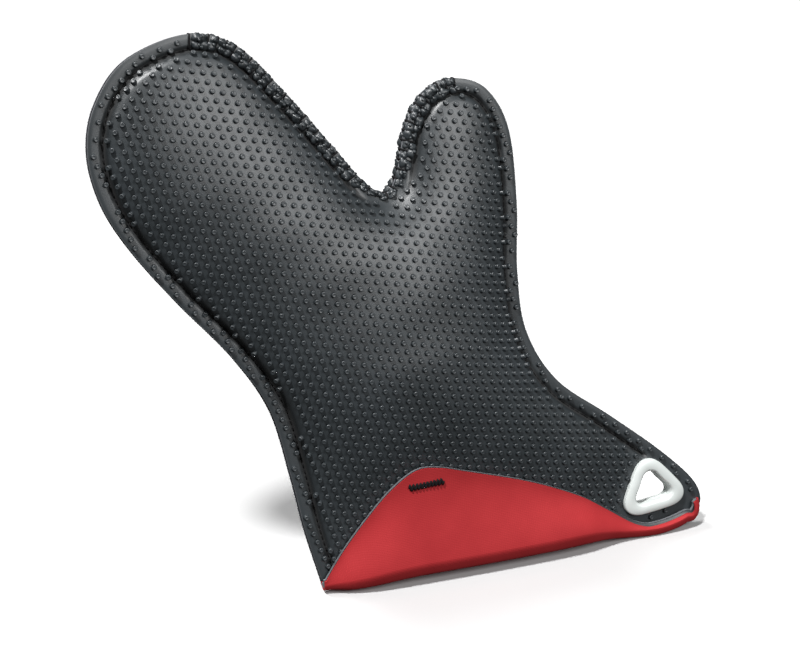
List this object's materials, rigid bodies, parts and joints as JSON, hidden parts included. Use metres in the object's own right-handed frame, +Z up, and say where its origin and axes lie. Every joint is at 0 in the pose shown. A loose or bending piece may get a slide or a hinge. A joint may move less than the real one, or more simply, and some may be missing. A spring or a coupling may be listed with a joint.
{
  "type": "oven mitt",
  "caption": "Thumbed oven mitt of nubbed black rubber with a red fabric lining, a turned-up cuff and a corner ring to hang it by, to hold hot pans.",
  "frame": {"origin": "centre of the bounding box, on the floor that the cuff stands on", "axes": "+Z up, +X across the hand towards the thumb and the hanging ring, -Y the way the palm faces"},
  "size_m": [0.3218, 0.0822, 0.2876],
  "materials": {
    "rubber_skin": "semi-matt moulded rubber sheet with rows of small flat pegs",
    "lining": "red knitted fabric bonded to the rubber",
    "thread": "black sewing thread",
    "ring": "off-white satin plastic"
  },
  "bodies": {
    "palm": {"palm_lining_front": "lining", "palm_skin_front": "rubber_skin", "palm_lining_back": "lining", "palm_skin_back": "rubber_skin", "knuckle_fold_lining_front": "lining", "knuckle_fold_skin_front": "rubber_skin", "knuckle_fold_lining_back": "lining", "knuckle_fold_skin_back": "rubber_skin", "thumb_fold_lining_front": "lining", "thumb_fold_skin_front": "rubber_skin", "thumb_fold_lining_back": "lining", "thumb_fold_skin_back": "rubber_skin", "turned_cuff_skin": "rubber_skin", "turned_cuff_lining": "lining", "hanging_ring_front": "ring", "hanging_ring_back": "ring", "palm_left_seam_thread_front": "thread", "palm_left_seam_thread_back": "thread", "crotch_seam_thread_front": "thread", "crotch_seam_thread_back": "thread", "palm_right_seam_thread_front": "thread", "palm_right_seam_thread_back": "thread", "crotch_edge_thread": "thread", "cuff_bartack": "thread"},
    "fingers": {"fingers_lining_front": "lining", "fingers_skin_front": "rubber_skin", "fingers_lining_back": "lining", "fingers_skin_back": "rubber_skin", "fingers_seam_thread_front": "thread", "fingers_seam_thread_back": "thread", "fingers_edge_thread": "thread"},
    "thumb": {"thumb_lining_front": "lining", "thumb_skin_front": "rubber_skin", "thumb_lining_back": "lining", "thumb_skin_back": "rubber_skin", "thumb_seam_thread_front": "thread", "thumb_seam_thread_back": "thread", "thumb_edge_thread": "thread"}
  },
  "joints": [
    {"name": "finger_flex", "type": "hinge", "parent": "palm", "child": "fingers", "pos_m": [-0.06087, 0.01025, 0.1636], "axis": [0.8, 0.1247, 0.5869], "range_deg": [0, 45], "stiffness_Nm_per_rad": 0.8, "deforming": ["knuckle_fold_lining_front", "knuckle_fold_skin_front", "knuckle_fold_lining_back", "knuckle_fold_skin_back", "palm_left_seam_thread_front", "palm_left_seam_thread_back", "crotch_seam_thread_front", "crotch_seam_thread_back", "crotch_edge_thread"]},
    {"name": "thumb_flex", "type": "hinge", "parent": "palm", "child": "thumb", "pos_m": [0.02463, 0.01601, 0.19074], "axis": [0.9709, -0.0498, -0.2342], "range_deg": [0, 40], "stiffness_Nm_per_rad": 0.5, "deforming": ["thumb_fold_lining_front", "thumb_fold_skin_front", "thumb_fold_lining_back", "thumb_fold_skin_back", "palm_right_seam_thread_front", "palm_right_seam_thread_back"]}
  ]
}
